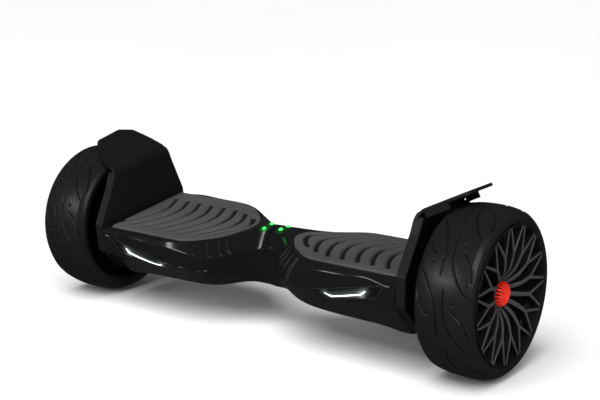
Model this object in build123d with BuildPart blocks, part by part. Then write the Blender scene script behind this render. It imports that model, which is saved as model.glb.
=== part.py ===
"""Self balancing board with two hub motor wheels.

Frame: millimetres, +X along the wheel axis towards the right wheel, -Y is the front, +Z up.
The origin is on the ground, midway between the wheels. Every part is drawn on the right half,
in that half's level position. A left part is the mirror image, tipped about the axle line by
the twist that the two halves stand at.
"""

import os
from math import exp

from build123d import *

# Driving dimensions of the whole board
WHEEL_R = 108.0  # 8.5 inch tyre
TYRE_WIDTH = 80.0
TRACK = 632.0  # between the tyres' centre planes
TWIST_AT_REST = 8.0  # degrees that the left half stands front down of the right half
BODY_END = 245.0  # outer end of each half's casing
SEAM_GAP = 0.5  # from the centre plane to each half's end face
WALL = 3.0  # moulded casing wall
SLIP = 0.05  # radial clearance of a running fit
SEAT = 0.02  # radial clearance of a fixed fit

AXLE_Z = WHEEL_R
WHEEL_X = TRACK / 2
TRAVEL = 1.5  # foot pad press

# Casing sections along X: height of the deck, its half width, height of the shoulder, half width
# of the side wall, height of the hip, half width of the sole, and height of the sole.
SECTIONS = (
    (SEAM_GAP, 140, 12, 117, 28, 76, 15, 60),
    (22, 139.5, 14, 116, 31, 76, 17, 60),
    (48, 134, 36, 112, 58, 86, 32, 61),
    (78, 130.5, 62, 112, 79, 93, 43, 56),
    (112, 130, 79, 119, 87, 95, 44, 52.5),
    (142, 130, 82, 121, 88, 95, 44, 51.5),
    (176, 130, 83, 123, 88.5, 95, 44, 51),
    (210, 130, 83, 124, 89, 95, 44, 49.5),
    (BODY_END, 130, 83, 125, 89, 95, 44, 48),
)
SECTION_RADII = (5, 7, 14, 9)  # at the deck edge, shoulder, hip and sole corners

# Line between the two shells, seen from the front
SEAM_AT_WAIST = 116.0
SEAM_DIP_X, SEAM_DIP_Z = 77.0, 90.0
SEAM_AT_END = 126.0
SEAM_BEND = 14.0

# Deck recess, pedal plate and foot pad
PAD_INNER, PAD_OUTER, PAD_HALF = 38.0, 238.0, 76.0
PAD_GAP = 0.8
LEDGE_BOTTOM, LEDGE_TOP = 119.0, 122.0
PLATE_BOTTOM, PLATE_TOP, PAD_TOP = 124.0, 127.0, 132.0
PLUNGERS = ((104, 0), (180, 0))
PLUNGER_R, PLUNGER_LENGTH = 8.0, 11.0

# Chassis, pivot and axle
PLATFORM_BOTTOM, PLATFORM_TOP = 98.0, 102.0
PLATFORM_INNER, PLATFORM_OUTER, PLATFORM_HALF = 96.0, 240.0, 70.0
BOSS_R, BOSS_START, BOSS_END = 23.0, 6.0, 30.0
TUBE_R, TUBE_BORE, TUBE_REACH = 17.0, 14.0, 33.5
BUSH_R, BUSH_LENGTH = 20.0, 9.0
PIVOT_PIN_X, PIVOT_PIN_R = 18.0, 3.0
RING_R, RING_GROOVE_R, RING_START, RING_WIDTH = 21.5, 15.5, 30.6, 1.6
AXLE_R, AXLE_START = 7.5, 204.0
CLAMP_START, CLAMP_END, CLAMP_HALF, CLAMP_TOP = 206.0, 238.0, 30.0, 118.0
DECK_POSTS = ((100, 46), (100, -46), (190, 60), (190, -60))
SOLE_POSTS = ((84, 27), (84, -27), (235, 30), (235, -30))
POST_R, SCREW_R, HEAD_R, HEAD_HEIGHT = 5.5, 2.0, 4.0, 2.4
DECK_SCREW, SOLE_SCREW = 14.0, 16.0
RAIL_Y, RAIL_WIDTH, RAIL_HEIGHT = 46.0, 4.0, 8.0
LUG_SIZE = (11.0, 12.0, 16.0)
CLAMP_BOLTS = ((214, 20), (230, 20), (214, -20), (230, -20))
CLAMP_BOLT_R, CLAMP_BOLT_DEPTH = 3.0, 9.0

# Wheel, as offsets from the tyre's centre plane
TYRE_BORE = 86.0
RIM_LIP_R, RIM_EDGE = 88.0, 39.0
RIM_MOUTH_R, RIM_INNER_R = 84.8, 82.5
ROTOR_BORE, ROTOR_HALF = 66.0, 18.0
WEB_START, WEB_END = 15.0, 20.0
BEARING_R, BEARING_WIDTH = 16.0, 9.0
BEARING_STARTS = (6.0, -28.0)
STATOR_R, STATOR_HALF, STATOR_HUB = 61.5, 15.0, 44.0
TEETH, TOOTH_WIDTH = 27, 4.5
MAGNETS, MAGNET_THICKNESS, MAGNET_WIDTH = 30, 3.2, 12.0
SIDE_COVER = (-22.2, -18.1)
COVER_SCREWS, COVER_SCREW_CIRCLE = 8, 74.0
AXLE_OUTER = 14.0
SPOKES, SPOKE_WIDTH, SPOKE_SPLIT_R = 15, 3.6, 50.0
TRIM_R, TRIM_BACK, TRIM_FACE = 82.0, 22.0, 24.5
BOWL_DEEP, BOWL_RIM, BOWL_SHAPE = 27.5, 38.0, 18.0
HUB_CAP_R, HUB_CAP_FACE, HUB_SLOTS = 15.0, 30.0, 18

# Fender: a wall beside the casing, bent outwards over the tyre, with a rim along its edges
FENDER_WALL, FENDER_RIM, FENDER_RIM_DEPTH = 4.0, 3.5, 13.0
FENDER_TOP, FENDER_SLOPE, FENDER_BEND_R, FENDER_REACH = 206.0, 26.5, 18.0, 69.0
FENDER_BOLTS = ((60, 109), (-60, 109))
WALL_OUTLINE = (
    (-46, 206), (-58, 181), (-88, 134), (-88, 95), (-46, 51),
    (46, 51), (88, 95), (88, 134), (71, 184), (65, 206),
)
PLATE_OUTLINE = (
    (-8, -45), (8, -41), (41, -36), (64, -20),
    (FENDER_REACH, 30), (58, 50), (30, 59), (-8, 66),
)
OUTLINE_CORNER_R, PLATE_CORNER_R = 10.0, 11.0
SKIRTS = (((8, -41), (41, -36)), ((30, 59), (8, 63)))  # rims turned down along the plate's edges
SKIRT_DEPTH = 10.0
WALL_SHOULDER, RIM_TOP = 150.0, 200.0  # corners are rounded below one, the rim ends at the other
AXLE_HOLE_R = 11.0

# Windows in the casing: headlight lens and light bar on the front, status lens at the waist
LENS_CORNERS = ((106, 92), (228, 119), (217, 101), (126, 82))
BAR_INNER, BAR_OUTER = (147, 89), (196, 102)
BAR_TIPS = ((139, 93), (202, 108))
BAR_WIDTH = 2.6
LENS_BACK, BAR_BACK = 70.0, 81.8  # the lens and the light bar lie in front of these
STATUS_X, STATUS_Y, STATUS_LENGTH, STATUS_WIDTH = 14.5, 2.0, 19.0, 32.0
STATUS_LIGHTS = ((12.5, -9.5), (12.5, 7.5))
STATUS_LIGHT_R = 3.0

# Charging socket and power button in the rear wall of the right half
PORT_X, PORT_Z, PORT_R, PORT_BORE, PORT_FLANGE = 222.0, 108.0, 8.0, 6.2, 9.8
BUTTON_X, BUTTON_Z, BUTTON_R = 190.0, 107.0, 6.2
BUTTON_TRAVEL, SWITCH_GAP = 1.0, 0.2
REAR = 88.8  # the rear wall's face there
HINGE_Y, HINGE_Z, HINGE_R, HINGE_PIN_R = REAR + 4.2, PORT_Z - 12.4, 1.9, 0.8
CAP_WIDTH, LUG_WIDTH = 7.6, 3.0

# Electronics and battery
BOARD = 1.6
BOARD_Z, SWITCH_BOARD_Z = 86.0, 106.5
BATTERY_START, BATTERY_END, BATTERY_HALF, BATTERY_BOTTOM = 96.0, 226.0, 37.0, 57.0
BATTERY_Y = -5.6  # sideways place of the battery, which balances the board

THROUGH = 40.0  # longer than any wall that a cut goes through

os.makedirs("parts", exist_ok=True)


def write(piece, name):
    """Labels a finished part and writes its STEP file."""
    piece.label = name
    export_step(piece, f"parts/{name}.step")


def to_left(piece):
    """The left half's copy: mirrored, then tipped about the axle line."""
    axle_line = Location((0, 0, AXLE_Z))
    tip = axle_line * Location((0, 0, 0), (TWIST_AT_REST, 0, 0)) * axle_line.inverse()
    return mirror(piece, about=Plane.YZ).moved(tip)


def write_pair(piece, name):
    """Writes the part as drawn for the right half, and its copy for the left half."""
    write(to_left(piece), "left_" + name)
    write(piece, "right_" + name)


def casing_solid(inset):
    """The closed outer form of one half, drawn in by inset on every side."""
    with BuildPart() as form:
        for x, deck_z, deck, shoulder, side, hip, sole, sole_z in SECTIONS:
            x = min(max(x, SEAM_GAP + inset), BODY_END - inset)
            half = [
                (deck - inset * 0.6, deck_z - inset),
                (side - inset, shoulder - inset * 0.4),
                (side - inset, hip + inset * 0.4),
                (sole - inset * 0.6, sole_z + inset),
            ]
            mirrored = [(-y, z) for y, z in reversed(half)]
            radii = [r - inset * 0.6 for r in SECTION_RADII]
            with BuildSketch(Plane.YZ.offset(x)):
                with BuildLine():
                    FilletPolyline(*half, *mirrored, radius=radii + radii[::-1], close=True)
                make_face()
        loft()
    return form.part


def above_seam():
    """Everything above the line between the shells."""
    reach = 120
    with BuildPart() as region:
        with BuildSketch(Plane.XZ.offset(-reach)):
            with BuildLine():
                FilletPolyline(
                    (-20, SEAM_AT_WAIST),
                    (18, SEAM_AT_WAIST),
                    (SEAM_DIP_X, SEAM_DIP_Z),
                    (BODY_END + 10, SEAM_AT_END + 1),
                    radius=SEAM_BEND,
                )
                Polyline(
                    (BODY_END + 10, SEAM_AT_END + 1),
                    (BODY_END + 10, 200),
                    (-20, 200),
                    (-20, SEAM_AT_WAIST),
                )
            make_face()
        extrude(amount=2 * reach)
    return region.part


def pad_sketch(grow=0.0):
    """The pad's D shaped outline, grown outwards."""
    half = [(PAD_OUTER, PAD_HALF), (108, PAD_HALF), (60, 45), (PAD_INNER, 10)]
    other_half = [(x, -y) for x, y in reversed(half)]
    radii = [4, 26, 20, 8]
    with BuildSketch() as outline:
        with BuildLine():
            FilletPolyline(*half, *other_half, radius=radii + radii[::-1], close=True)
        make_face()
        if grow:
            offset(amount=grow)
    return outline.sketch


outer_form = casing_solid(0)
inner_form = casing_solid(WALL)
upper_region = above_seam()

# Tools that cut the windows of the lenses and lights
with BuildPart() as lens_window:
    with BuildSketch(Plane.XZ.offset(LENS_BACK)):
        Polygon(*LENS_CORNERS, align=None)
        fillet(vertices(), 3)
    extrude(amount=THROUGH)

with BuildPart() as bar_window:
    with BuildSketch(Plane.XZ.offset(LENS_BACK)):
        with BuildLine() as bar_path:
            Polyline(BAR_TIPS[0], BAR_INNER, BAR_OUTER, BAR_TIPS[1])
        trace(line_width=BAR_WIDTH)
    extrude(amount=THROUGH)

with BuildPart() as status_window:
    with BuildSketch(Plane.XY.offset(SEAM_AT_WAIST + 8)):
        with Locations((STATUS_X, STATUS_Y)):
            RectangleRounded(STATUS_LENGTH, STATUS_WIDTH, 5)
    extrude(amount=THROUGH)


def sole_height(x):
    """Height of the casing's underside along its length."""
    for before, after in zip(SECTIONS, SECTIONS[1:]):
        if before[0] <= x <= after[0]:
            share = (x - before[0]) / (after[0] - before[0])
            return before[-1] + share * (after[-1] - before[-1])
    raise ValueError(x)


def sole_face(x, y):
    """A screw's place on the underside, facing down."""
    return Location((x, y, sole_height(x)), (180, 0, 0))


# Upper shell: skin above the seam, with a recess and a ledge for the foot pad
with BuildPart() as ledge_block:
    with BuildSketch(Plane.XY.offset(LEDGE_BOTTOM)):
        add(pad_sketch(WALL + PAD_GAP))
    extrude(amount=THROUGH)
    add(outer_form, mode=Mode.INTERSECT)

with BuildPart() as upper_shell:
    add(outer_form)
    add(inner_form, mode=Mode.SUBTRACT)
    add(upper_region, mode=Mode.INTERSECT)
    add(ledge_block.part)
    with BuildSketch(Plane.XY.offset(LEDGE_TOP)):
        add(pad_sketch(PAD_GAP))
    extrude(amount=THROUGH, mode=Mode.SUBTRACT)
    with Locations(*[(x, y, LEDGE_TOP) for x, y in PLUNGERS]):
        Hole(radius=PLUNGER_R + 2, depth=10)
    with Locations(*[(x, y, LEDGE_TOP) for x, y in DECK_POSTS]):
        CounterSinkHole(SCREW_R + 0.3, HEAD_R + 0.2, depth=10)
    add(status_window.part, mode=Mode.SUBTRACT)
    with BuildSketch(Plane.YZ):
        with Locations((0, AXLE_Z)):
            Circle(TUBE_R + 1)
    extrude(amount=BOSS_START, mode=Mode.SUBTRACT)
write_pair(upper_shell.part, "upper_shell")

# Lower shell: skin below the seam, with the headlight window and the fixing holes
with BuildPart() as lower_shell:
    add(outer_form)
    add(inner_form, mode=Mode.SUBTRACT)
    add(upper_region, mode=Mode.SUBTRACT)
    add(lens_window.part, mode=Mode.SUBTRACT)
    with Locations(*[sole_face(x, y) for x, y in SOLE_POSTS]):
        CounterSinkHole(SCREW_R + 0.3, HEAD_R + 0.2, depth=WALL + 2)
    with BuildSketch(Plane.YZ.offset(BODY_END + 1)):
        with Locations((0, AXLE_Z)):
            Circle(AXLE_HOLE_R)
        with Locations(*FENDER_BOLTS):
            Circle(SCREW_R + 0.3)
    extrude(amount=-8, mode=Mode.SUBTRACT)
    with BuildSketch(Plane.YZ):
        with Locations((0, AXLE_Z)):
            Circle(TUBE_R + 1)
    extrude(amount=BOSS_START, mode=Mode.SUBTRACT)
write(to_left(lower_shell.part), "left_lower_shell")

# The right lower shell also carries the power button and the charging socket in its rear wall
with BuildPart() as right_lower_shell:
    add(lower_shell.part)
    with Locations(Location((PORT_X, REAR, PORT_Z), (90, 0, 0))):
        Cylinder(PORT_R + 0.1, 20, mode=Mode.SUBTRACT)
    with Locations(Location((BUTTON_X, REAR, BUTTON_Z), (90, 0, 0))):
        Cylinder(BUTTON_R + 0.1, 20, mode=Mode.SUBTRACT)
write(right_lower_shell.part, "right_lower_shell")

# Headlight lens: the stretch of skin inside the window, slotted for the light bar
with BuildPart() as headlight_lens:
    add(outer_form)
    add(inner_form, mode=Mode.SUBTRACT)
    add(lens_window.part, mode=Mode.INTERSECT)
    add(bar_window.part, mode=Mode.SUBTRACT)
write_pair(headlight_lens.part, "headlight_lens")

# Light bar: a white diffuser whose face is flush with the lens
with BuildPart() as bar_front:
    with BuildSketch(Plane.XZ.offset(BAR_BACK)):
        Rectangle(4 * BODY_END, 4 * BODY_END)
    extrude(amount=THROUGH)

with BuildPart() as light_bar:
    add(outer_form)
    add(bar_window.part, mode=Mode.INTERSECT)
    add(bar_front.part, mode=Mode.INTERSECT)
write_pair(light_bar.part, "light_bar")

# Status lens at the waist and its two indicator lights
with BuildPart() as status_lens:
    add(outer_form)
    add(inner_form, mode=Mode.SUBTRACT)
    add(status_window.part, mode=Mode.INTERSECT)
    with BuildSketch(Plane.XY.offset(SEAM_AT_WAIST)):
        with Locations(*STATUS_LIGHTS):
            Circle(STATUS_LIGHT_R)
    extrude(amount=THROUGH, mode=Mode.SUBTRACT)
write_pair(status_lens.part, "status_lens")

with BuildPart() as status_lights:
    with BuildSketch(Plane.XY.offset(SEAM_AT_WAIST + 17)):
        with Locations(*STATUS_LIGHTS):
            Circle(STATUS_LIGHT_R)
    extrude(amount=THROUGH)
    add(outer_form, mode=Mode.INTERSECT)
write_pair(status_lights.part, "status_lights")

# Pedal plate with its two plungers, and the rubber foot pad on top of it
with BuildPart() as pedal_plate:
    with BuildSketch(Plane.XY.offset(PLATE_BOTTOM)):
        add(pad_sketch(-1))
    extrude(amount=PLATE_TOP - PLATE_BOTTOM)
    with BuildSketch(Plane.XY.offset(PLATE_BOTTOM)):
        with Locations(*PLUNGERS):
            Circle(PLUNGER_R)
    extrude(amount=-PLUNGER_LENGTH)
write_pair(pedal_plate.part, "pedal_plate")

with BuildPart() as foot_pad:
    with BuildSketch(Plane.XY.offset(PLATE_TOP)):
        add(pad_sketch())
    extrude(amount=PAD_TOP - PLATE_TOP)
    fillet(foot_pad.faces().sort_by(Axis.Z)[-1].edges(), 1.5)
write_pair(foot_pad.part, "foot_pad")


def chassis(bore):
    """Cast half frame: platform, pivot boss, axle saddle and screw posts."""
    height = PLATFORM_TOP - PLATFORM_BOTTOM
    with BuildPart() as frame:
        with BuildSketch(Plane.XY.offset(PLATFORM_BOTTOM)):
            with BuildLine():
                FilletPolyline(
                    (BOSS_START + 8, 21),
                    (BOSS_START + 20, 23),
                    (BOSS_END + 10, 34),
                    (PLATFORM_INNER, PLATFORM_HALF - 8),
                    (PLATFORM_INNER + 30, PLATFORM_HALF),
                    (PLATFORM_OUTER, PLATFORM_HALF),
                    (PLATFORM_OUTER, -PLATFORM_HALF),
                    (PLATFORM_INNER + 30, -PLATFORM_HALF),
                    (PLATFORM_INNER, -PLATFORM_HALF + 8),
                    (BOSS_END + 10, -34),
                    (BOSS_START + 20, -23),
                    (BOSS_START + 8, -21),
                    radius=4,
                    close=True,
                )
            make_face()
        extrude(amount=height)
        # Stiffening rails under the platform, and lugs for the fender's bolts
        for side in (-1, 1):
            with Locations((PLATFORM_OUTER, side * RAIL_Y, PLATFORM_BOTTOM)):
                Box(
                    PLATFORM_OUTER - PLATFORM_INNER - 4,
                    RAIL_WIDTH,
                    RAIL_HEIGHT,
                    align=(Align.MAX, Align.CENTER, Align.MAX),
                )
            with Locations((PLATFORM_OUTER, side * FENDER_BOLTS[0][0], PLATFORM_TOP - 1)):
                Box(*LUG_SIZE, align=(Align.MAX, Align.CENTER, Align.MIN))
        with BuildSketch(Plane.YZ.offset(BOSS_START)):
            with Locations((0, AXLE_Z)):
                Circle(BOSS_R)
        extrude(amount=BOSS_END - BOSS_START)
        with Locations(((CLAMP_START + CLAMP_END) / 2, 0, PLATFORM_TOP)):
            Box(
                CLAMP_END - CLAMP_START,
                2 * CLAMP_HALF,
                AXLE_Z - PLATFORM_TOP,
                align=(Align.CENTER, Align.CENTER, Align.MIN),
            )
        with BuildSketch(Plane.XY.offset(PLATFORM_TOP)):
            with Locations(*DECK_POSTS):
                Circle(POST_R)
        extrude(amount=LEDGE_BOTTOM - PLATFORM_TOP)
        for x, y in SOLE_POSTS:
            with Locations((x, y, PLATFORM_BOTTOM)):
                Cylinder(
                    POST_R,
                    PLATFORM_BOTTOM - sole_height(x) - WALL - 0.5,
                    align=(Align.CENTER, Align.CENTER, Align.MAX),
                )
        with BuildSketch(Plane.YZ.offset(BOSS_START)):
            with Locations((0, AXLE_Z)):
                Circle(bore)
        extrude(amount=BOSS_END - BOSS_START, mode=Mode.SUBTRACT)
        with BuildSketch(Plane.YZ.offset(BOSS_END)):
            with Locations((0, AXLE_Z)):
                Circle(RING_R + 1)
        extrude(amount=5, mode=Mode.SUBTRACT)
        with BuildSketch(Plane.YZ.offset(AXLE_START - 2)):
            with Locations((0, AXLE_Z)):
                Circle(AXLE_R + SEAT)
        extrude(amount=PLATFORM_OUTER + 2 - AXLE_START + 2, mode=Mode.SUBTRACT)
        with Locations(*[(x, y, LEDGE_BOTTOM) for x, y in DECK_POSTS]):
            Hole(SCREW_R + SEAT, depth=DECK_SCREW)
        with Locations(*[sole_face(x, y) for x, y in SOLE_POSTS]):
            Hole(SCREW_R + SEAT, depth=SOLE_SCREW + 1)
        with BuildSketch(Plane.YZ.offset(PLATFORM_OUTER)):
            with Locations(*FENDER_BOLTS):
                Circle(SCREW_R + SEAT)
        extrude(amount=-LUG_SIZE[0], mode=Mode.SUBTRACT)
        with Locations(*[(x, y, AXLE_Z) for x, y in CLAMP_BOLTS]):
            Hole(CLAMP_BOLT_R + SEAT, depth=CLAMP_BOLT_DEPTH)
    return frame.part


with BuildPart() as right_chassis:
    add(chassis(TUBE_R + SEAT))
    with Locations((PIVOT_PIN_X, 0, AXLE_Z)):
        Cylinder(PIVOT_PIN_R + SEAT, 2 * BOSS_R + 2, rotation=(90, 0, 0), mode=Mode.SUBTRACT)
write(right_chassis.part, "right_chassis")

with BuildPart() as left_chassis:
    add(chassis(BUSH_R + SEAT))
write(to_left(left_chassis.part), "left_chassis")


def turned(profile):
    """A solid of revolution about the axle line, from (offset, radius) corners at the wheel."""
    with BuildPart() as solid:
        with BuildSketch(Plane.XZ):
            Polygon(*[(WHEEL_X + along, AXLE_Z + out) for along, out in profile], align=None)
        revolve(axis=Axis((0, 0, AXLE_Z), (1, 0, 0)))
    return solid.part


def wheel_plane(along):
    """The plane across the axle at an offset from the tyre's centre plane."""
    return Plane(origin=(WHEEL_X + along, 0, AXLE_Z), x_dir=(0, 1, 0), z_dir=(1, 0, 0))


# Tyre: rounded crown and shoulders on a low profile carcass
with BuildPart() as tyre:
    with BuildSketch(Plane.XZ):
        with BuildLine():
            crown = [(-38.6, 89), (-40, 93.5), (-36.8, 100.5), (-30.5, 104.6), (-15, 107.5), (0, 108)]
            outline = crown + [(-along, out) for along, out in reversed(crown[:-1])]
            arc = Spline(*[(WHEEL_X + along, AXLE_Z + out) for along, out in outline])
            Polyline(
                arc @ 1,
                (WHEEL_X + 36.6, AXLE_Z + RIM_LIP_R + 0.3),
                (WHEEL_X + 36.6, AXLE_Z + TYRE_BORE),
                (WHEEL_X - 36.6, AXLE_Z + TYRE_BORE),
                (WHEEL_X - 36.6, AXLE_Z + RIM_LIP_R + 0.3),
                arc @ 0,
            )
        make_face()
    revolve(axis=Axis((0, 0, AXLE_Z), (1, 0, 0)))
write_pair(tyre.part, "tyre")

# Rim: barrel with two lips, rotor ring with its magnets, and the outer web with a bearing seat
seat = TYRE_BORE - SLIP
with BuildPart() as rim:
    add(
        turned(
            (
                (-RIM_EDGE, RIM_LIP_R), (-36.7, RIM_LIP_R), (-36.7, seat), (36.7, seat),
                (36.7, RIM_LIP_R), (RIM_EDGE, RIM_LIP_R), (RIM_EDGE, RIM_MOUTH_R),
                (28, RIM_INNER_R), (WEB_END, RIM_INNER_R), (WEB_END, AXLE_R + 2),
                (WEB_START, AXLE_R + 2), (WEB_START, BEARING_R), (WEB_START - 9, BEARING_R),
                (WEB_START - 9, BEARING_R + 4), (WEB_START, BEARING_R + 6),
                (WEB_START, ROTOR_BORE), (-ROTOR_HALF, ROTOR_BORE), (-ROTOR_HALF, RIM_INNER_R),
                (-RIM_EDGE, RIM_MOUTH_R),
            )
        )
    )
    with BuildSketch(wheel_plane(-ROTOR_HALF)):
        with PolarLocations(COVER_SCREW_CIRCLE, COVER_SCREWS):
            Circle(SCREW_R + SEAT)
    extrude(amount=10, mode=Mode.SUBTRACT)
    with BuildSketch(wheel_plane(-STATOR_HALF)):
        with PolarLocations(ROTOR_BORE - MAGNET_THICKNESS / 2, MAGNETS):
            Rectangle(MAGNET_THICKNESS, MAGNET_WIDTH)
    extrude(amount=2 * STATOR_HALF - 1)
write_pair(rim.part, "rim")

# Inner side cover of the motor, with the other bearing seat
bearing_in, bearing_out = BEARING_STARTS[1], BEARING_STARTS[1] + BEARING_WIDTH
with BuildPart() as side_cover:
    add(
        turned(
            (
                (SIDE_COVER[1], RIM_INNER_R - 0.3), (SIDE_COVER[0], RIM_INNER_R - 0.3),
                (SIDE_COVER[0], 24), (bearing_in - 3, 21), (bearing_in - 3, AXLE_R + 2),
                (bearing_in, AXLE_R + 2), (bearing_in, BEARING_R), (SIDE_COVER[1], BEARING_R),
            )
        )
    )
    with BuildSketch(wheel_plane(SIDE_COVER[0])):
        with PolarLocations(COVER_SCREW_CIRCLE, COVER_SCREWS):
            Circle(SCREW_R + 0.2)
    extrude(amount=6, mode=Mode.SUBTRACT)
write_pair(side_cover.part, "side_cover")

with BuildPart() as cover_screws:
    with BuildSketch(wheel_plane(SIDE_COVER[0])):
        with PolarLocations(COVER_SCREW_CIRCLE, COVER_SCREWS):
            Circle(SCREW_R)
    extrude(amount=12)
    with BuildSketch(wheel_plane(SIDE_COVER[0])):
        with PolarLocations(COVER_SCREW_CIRCLE, COVER_SCREWS):
            Circle(HEAD_R)
    extrude(amount=-HEAD_HEIGHT)
write_pair(cover_screws.part, "cover_screws")

with BuildPart() as bearings:
    for start in BEARING_STARTS:
        with BuildSketch(wheel_plane(start + SEAT)):
            Circle(BEARING_R - SEAT)
            Circle(AXLE_R + SLIP, mode=Mode.SUBTRACT)
        extrude(amount=BEARING_WIDTH - 2 * SEAT)
write_pair(bearings.part, "bearings")

# Stator: laminated core with its teeth, and a winding on each tooth
with BuildPart() as stator:
    with BuildSketch(wheel_plane(-STATOR_HALF)):
        Circle(STATOR_HUB)
        with PolarLocations((STATOR_R + STATOR_HUB) / 2 - 1, TEETH):
            Rectangle(STATOR_R - STATOR_HUB, TOOTH_WIDTH)
        with PolarLocations(STATOR_R - 2, TEETH):
            Rectangle(2.4, TOOTH_WIDTH + 6)
        with PolarLocations(27, 6):
            Circle(8, mode=Mode.SUBTRACT)
        Circle(AXLE_R + SEAT, mode=Mode.SUBTRACT)
    extrude(amount=2 * STATOR_HALF - 10)

with BuildPart() as windings:
    middle = (STATOR_R + STATOR_HUB) / 2 - 1
    with BuildSketch(wheel_plane(-STATOR_HALF - 1.5)):
        with PolarLocations(middle, TEETH):
            Rectangle(10, TOOTH_WIDTH + 4.4)
    extrude(amount=2 * STATOR_HALF - 7)
    with BuildSketch(wheel_plane(-STATOR_HALF)):
        with PolarLocations(middle, TEETH):
            Rectangle(12, TOOTH_WIDTH + SEAT)
    extrude(amount=2 * STATOR_HALF - 10, mode=Mode.SUBTRACT)
write_pair(Compound([stator.part, windings.part]), "stator")

with BuildPart() as axle:
    with BuildSketch(Plane.YZ.offset(AXLE_START)):
        with Locations((0, AXLE_Z)):
            Circle(AXLE_R)
    extrude(amount=WHEEL_X + AXLE_OUTER - AXLE_START)
    chamfer(axle.edges().filter_by(GeomType.CIRCLE), 1)
write_pair(axle.part, "axle")

with BuildPart() as axle_clamp:
    with Locations(((CLAMP_START + CLAMP_END) / 2, 0, AXLE_Z + 0.4)):
        Box(
            CLAMP_END - CLAMP_START,
            2 * CLAMP_HALF - 2,
            CLAMP_TOP - AXLE_Z - 3.4,
            align=(Align.CENTER, Align.CENTER, Align.MIN),
        )
    fillet(axle_clamp.edges().filter_by(Axis.Z), 3)
    with Locations(((CLAMP_START + CLAMP_END) / 2, 0, CLAMP_TOP - 4)):
        Box(
            CLAMP_END - CLAMP_START,
            2 * AXLE_R + 8,
            4.5,
            align=(Align.CENTER, Align.CENTER, Align.MIN),
        )
    with BuildSketch(Plane.YZ.offset(CLAMP_START)):
        with Locations((0, AXLE_Z)):
            Circle(AXLE_R + SEAT)
    extrude(amount=CLAMP_END - CLAMP_START, mode=Mode.SUBTRACT)
    with Locations(*[(x, y, CLAMP_TOP - 3) for x, y in CLAMP_BOLTS]):
        Hole(CLAMP_BOLT_R + 0.3, depth=20)
write_pair(axle_clamp.part, "axle_clamp")


def bowl_height(radius):
    """Offset of the spoke face, which rises steeply out of the hub and flattens to the rim."""
    share = 1 - exp(-(radius - HUB_CAP_R) / BOWL_SHAPE)
    return BOWL_DEEP + (BOWL_RIM - BOWL_DEEP) * share


# Wheel trim: dark back plate carrying a bowl of forked spokes that meet in pairs at the rim
with BuildPart() as wheel_trim:
    with BuildSketch(wheel_plane(TRIM_FACE)):
        with BuildLine() as spoke_lines:
            half_pitch = 180 / SPOKES
            split = PolarLine((0, 0), SPOKE_SPLIT_R, 0, mode=Mode.PRIVATE) @ 1
            tips = [
                PolarLine((0, 0), TRIM_R - 1, turn, mode=Mode.PRIVATE) @ 1
                for turn in (-half_pitch, half_pitch)
            ]
            root = PolarLine((0, 0), HUB_CAP_R + 1, half_pitch, mode=Mode.PRIVATE) @ 1
            Polyline(root, (32, 4), split)
            Line(split, tips[0])
            Line(split, tips[1])
        with BuildSketch(mode=Mode.PRIVATE) as one_spoke:
            trace(spoke_lines.line, line_width=SPOKE_WIDTH)
        with PolarLocations(0, SPOKES):
            add(one_spoke.sketch)
        Circle(HUB_CAP_R + 5)
        Circle(TRIM_R, mode=Mode.INTERSECT)
    extrude(amount=BOWL_RIM - TRIM_FACE)
    with BuildSketch(Plane.XZ, mode=Mode.PRIVATE) as bowl:
        with BuildLine():
            steps = [HUB_CAP_R, 19, 25, 34, 48, 66, TRIM_R + 0.5]
            rise = [(WHEEL_X + bowl_height(r), AXLE_Z + r) for r in steps]
            face = Spline(*rise)
            Polyline(
                face @ 1,
                (WHEEL_X + TRIM_FACE, AXLE_Z + steps[-1]),
                (WHEEL_X + TRIM_FACE, AXLE_Z),
                (WHEEL_X + BOWL_DEEP, AXLE_Z),
                face @ 0,
            )
        make_face()
    revolve(bowl.sketch, axis=Axis((0, 0, AXLE_Z), (1, 0, 0)), mode=Mode.INTERSECT)
    with BuildSketch(wheel_plane(TRIM_BACK)):
        Circle(TRIM_R)
    extrude(amount=TRIM_FACE - TRIM_BACK)
    with BuildSketch(wheel_plane(TRIM_FACE)):
        Circle(HUB_CAP_R + 0.1)
    extrude(amount=20, mode=Mode.SUBTRACT)
write_pair(wheel_trim.part, "wheel_trim")

with BuildPart() as hub_cap:
    with BuildSketch(wheel_plane(TRIM_FACE)):
        Circle(HUB_CAP_R)
        with PolarLocations(HUB_CAP_R, HUB_SLOTS):
            Rectangle(5, 1.8, mode=Mode.SUBTRACT)
    extrude(amount=HUB_CAP_FACE - TRIM_FACE)
    with BuildSketch(wheel_plane(HUB_CAP_FACE)):
        Circle(HUB_CAP_R - 6)
    extrude(amount=1)
write_pair(hub_cap.part, "hub_cap")


# Fender: cross section with its bend, cut to the wall's outline and to the top plate's outline
wall_x = BODY_END + 0.2
slope_plane = Plane(origin=(wall_x, 0, FENDER_TOP), x_dir=(1, 0, 0), z_dir=(0, 0, 1))
slope_plane = slope_plane.rotated((0, -FENDER_SLOPE, 0))
with BuildSketch() as wall_outline:
    Polygon(*WALL_OUTLINE, align=None)
    fillet(vertices().filter_by(lambda v: v.Y < WALL_SHOULDER), OUTLINE_CORNER_R)

with BuildPart() as fender_region:
    with BuildSketch(Plane.YZ.offset(wall_x - 1)):
        add(wall_outline.sketch)
    extrude(amount=FENDER_RIM_DEPTH + 1)
    with BuildSketch(slope_plane):
        Polygon(*PLATE_OUTLINE, align=None)
        fillet(vertices().filter_by(lambda v: v.X > 35), PLATE_CORNER_R)
    extrude(amount=3 * FENDER_WALL, both=True)

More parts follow.
